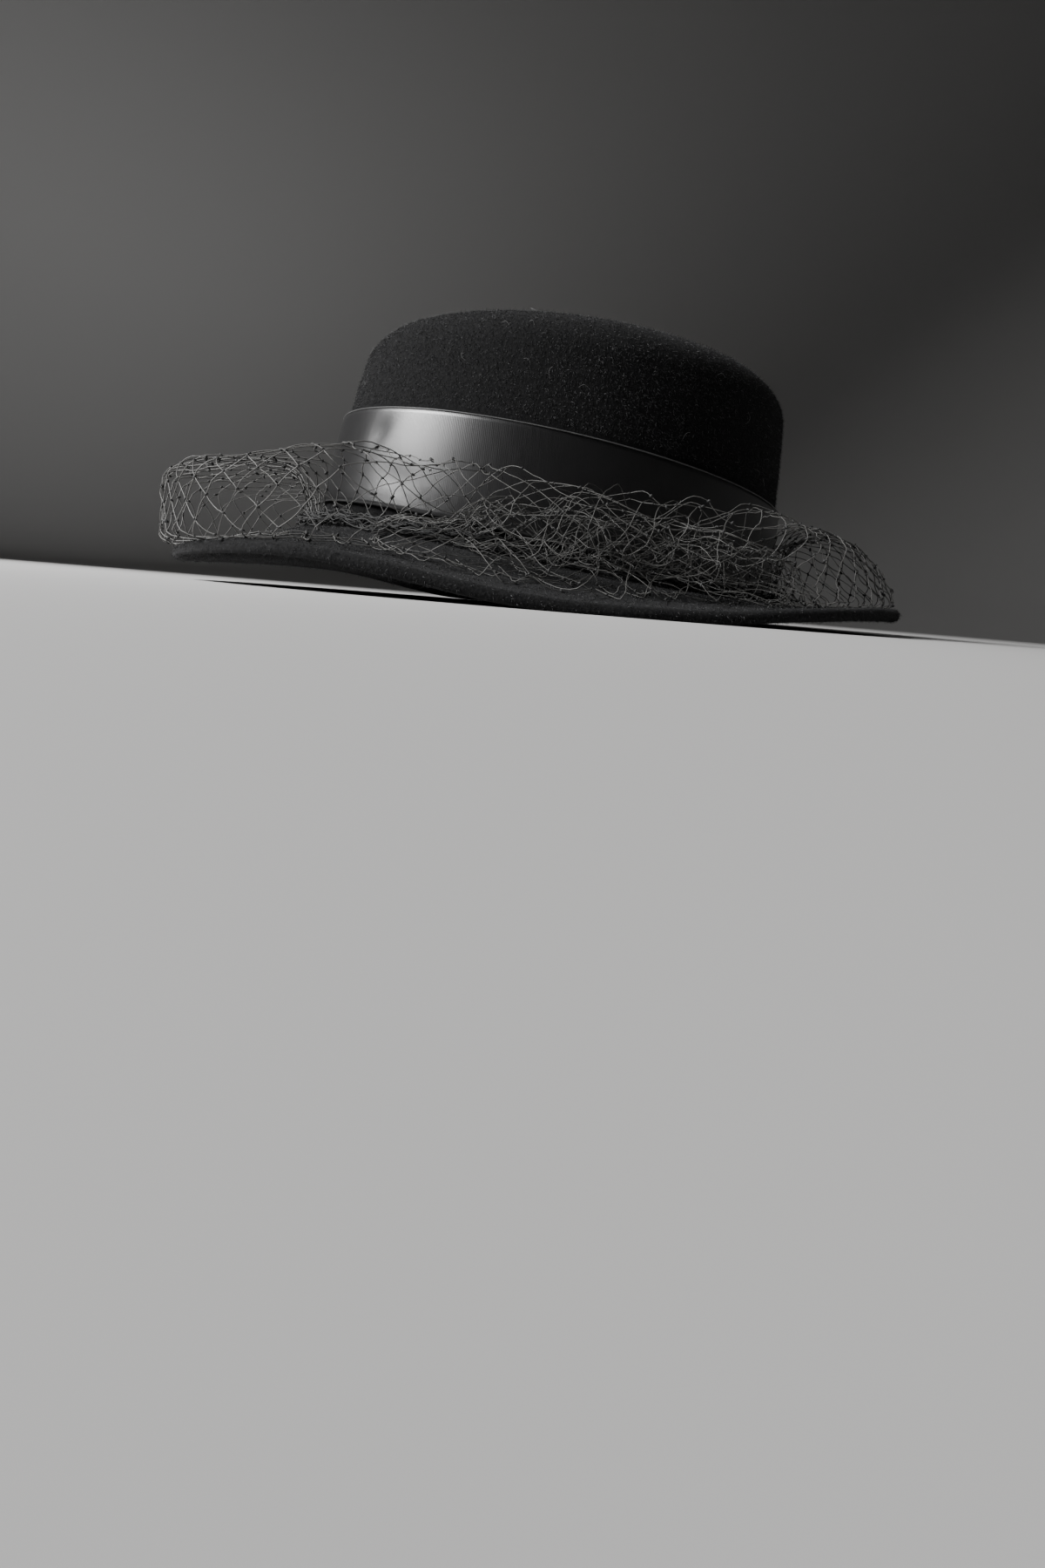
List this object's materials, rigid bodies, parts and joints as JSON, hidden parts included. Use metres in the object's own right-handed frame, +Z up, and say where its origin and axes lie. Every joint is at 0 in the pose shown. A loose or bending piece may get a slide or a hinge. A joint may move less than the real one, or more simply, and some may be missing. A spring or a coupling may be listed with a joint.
{
  "type": "felt hat with ribbon band and net veil",
  "caption": "Black felt hat with a straight flat-topped crown, a ribbon band, a wavy level brim and a puffed net veil lying on the brim.",
  "frame": {"origin": "on the surface that the hat rests on, under the middle of its box", "axes": "+Z up, -Y the front of the hat, +X the wearer's left"},
  "size_m": [0.263, 0.316, 0.1108],
  "materials": {
    "felt": "matt black wool felt",
    "ribbon": "black ribbon with a soft sheen",
    "net": "black net thread"
  },
  "bodies": {
    "root": {"crown": "felt", "brim": "felt", "ribbon_band": "ribbon", "net_veil": "net"}
  },
  "joints": []
}
